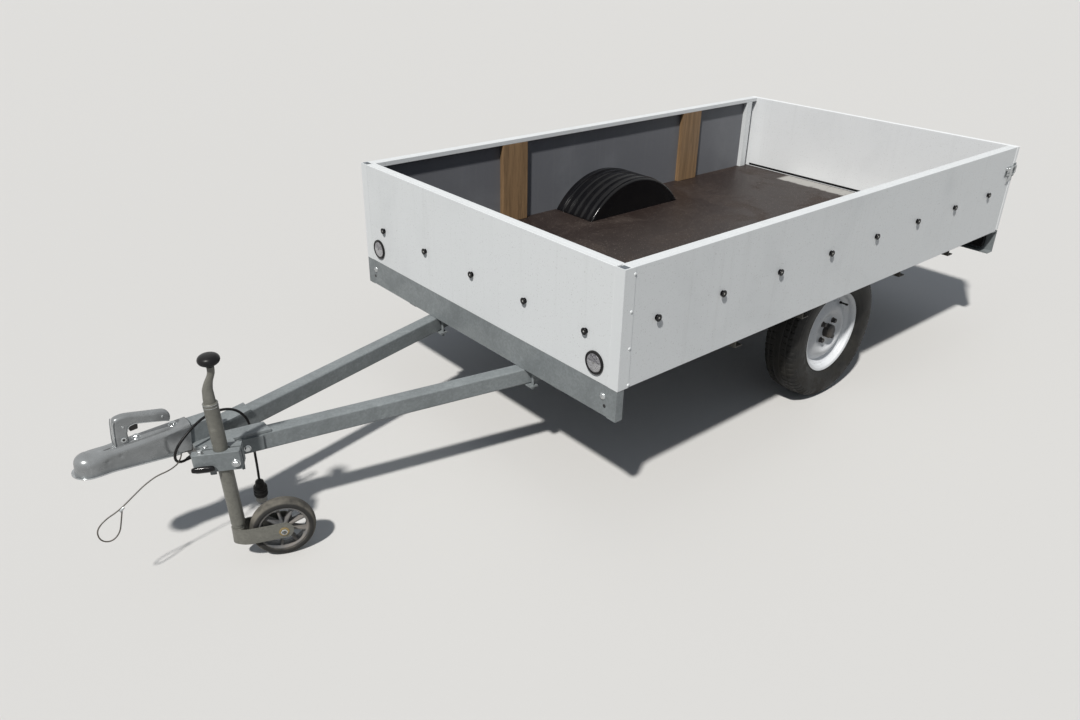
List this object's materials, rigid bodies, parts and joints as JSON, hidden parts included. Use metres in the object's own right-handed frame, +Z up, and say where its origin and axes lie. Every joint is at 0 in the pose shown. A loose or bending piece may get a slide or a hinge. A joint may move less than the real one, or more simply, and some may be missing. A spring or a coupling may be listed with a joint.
{
  "type": "flatbed car trailer",
  "caption": "Single axle open box trailer with white board sides, drop tailgate, galvanised V drawbar, ball coupling and swivelling jockey wheel.",
  "frame": {"origin": "on the ground under the middle of the whole trailer's length and width, body and drawbar together", "axes": "+X forward to the coupling, +Y to the trailer's left, +Z up"},
  "size_m": [3.952, 1.528, 0.9049],
  "materials": {
    "board_white": "white painted plywood, satin, with scuffs",
    "floor_brown": "dark brown film-faced plywood, anti-slip",
    "batten_timber": "varnished softwood plank",
    "galvanised_steel": "hot-dip galvanised, spangled, dull",
    "zinc_bright": "bright zinc plated pressing",
    "black_plastic": "black moulded plastic",
    "dark_plastic": "dark grey moulded plastic",
    "black_rubber": "black rubber",
    "jockey_rubber": "grey-black solid rubber, scuffed",
    "tyre_rubber": "worn black tyre rubber, dusty",
    "rim_white": "white painted pressed steel",
    "hub_dark": "dark cast hub",
    "reflector_clear": "clear reflector lens",
    "lamp_red": "red moulded lamp lens",
    "steel_wire": "thin steel wire rope"
  },
  "bodies": {
    "root": {"axle_tube": "galvanised_steel", "battens": "batten_timber", "clamp_handle": "black_plastic", "corner_posts": "board_white", "coupling": "zinc_bright", "coupling_lever": "zinc_bright", "cover_knobs": "black_plastic", "drawbar_caps": "black_plastic", "drawbar_head": "galvanised_steel", "drawbar_left": "galvanised_steel", "drawbar_right": "galvanised_steel", "drawbar_straps": "galvanised_steel", "floor": "floor_brown", "floor_bearers": "galvanised_steel", "front_board": "board_white", "front_crossmember": "galvanised_steel", "jockey_bracket": "galvanised_steel", "jockey_clamp": "galvanised_steel", "lamp_housings": "black_plastic", "lamp_lenses": "lamp_red", "mudguard_left": "black_plastic", "mudguard_right": "black_plastic", "rear_crossmember": "galvanised_steel", "rear_strips": "board_white", "rear_triangles": "lamp_red", "reflector_cups": "black_plastic", "reflector_lenses": "reflector_clear", "rim_rails": "board_white", "safety_wire": "steel_wire", "side_board_left": "board_white", "side_board_right": "board_white", "side_latches": "zinc_bright", "side_rails": "galvanised_steel", "supply_cable": "black_rubber", "supply_plug": "black_plastic", "swing_arms": "galvanised_steel", "tailgate_hinges": "galvanised_steel", "tailgate_seal": "black_rubber"},
    "tailgate": {"tailgate": "board_white", "tailgate_fittings": "galvanised_steel"},
    "wheel_left": {"tyre_left": "tyre_rubber", "rim_left": "rim_white", "hub_left": "hub_dark"},
    "wheel_right": {"tyre_right": "tyre_rubber", "rim_right": "rim_white", "hub_right": "hub_dark"},
    "jockey_post": {"jockey_outer_tube": "galvanised_steel", "jockey_crank": "galvanised_steel", "jockey_knob": "black_plastic"},
    "jockey_leg": {"jockey_leg": "galvanised_steel"},
    "jockey_fork": {"jockey_fork": "galvanised_steel"},
    "jockey_wheel": {"jockey_tyre": "jockey_rubber", "jockey_rim": "dark_plastic"}
  },
  "joints": [
    {"name": "wheel_left_spin", "type": "hinge", "parent": "root", "child": "wheel_left", "pos_m": [-0.752, 0.6125, 0.29], "axis": [0, 1, 0], "continuous": true},
    {"name": "wheel_right_spin", "type": "hinge", "parent": "root", "child": "wheel_right", "pos_m": [-0.752, -0.6125, 0.29], "axis": [0, 1, 0], "continuous": true},
    {"name": "tailgate_drop", "type": "hinge", "parent": "root", "child": "tailgate", "pos_m": [-1.969, 0, 0.496], "axis": [0, -1, 0], "range_deg": [0, 180]},
    {"name": "jockey_clamp_slide", "type": "slide", "parent": "root", "child": "jockey_post", "axis": [0.0426, -0.0155, 0.999], "range_m": [-0.13, 0.13]},
    {"name": "jockey_crank_slide", "type": "slide", "parent": "jockey_post", "child": "jockey_leg", "axis": [-0.0426, 0.0155, -0.999], "range_m": [-0.005, 0.2]},
    {"name": "jockey_swivel", "type": "hinge", "parent": "jockey_leg", "child": "jockey_fork", "pos_m": [1.59208, 0.16448, 0], "axis": [0.0426, -0.0155, 0.999], "continuous": true},
    {"name": "jockey_wheel_spin", "type": "hinge", "parent": "jockey_fork", "child": "jockey_wheel", "pos_m": [1.478, 0.206, 0.1], "axis": [0.342, 0.9397, 0], "continuous": true}
  ]
}
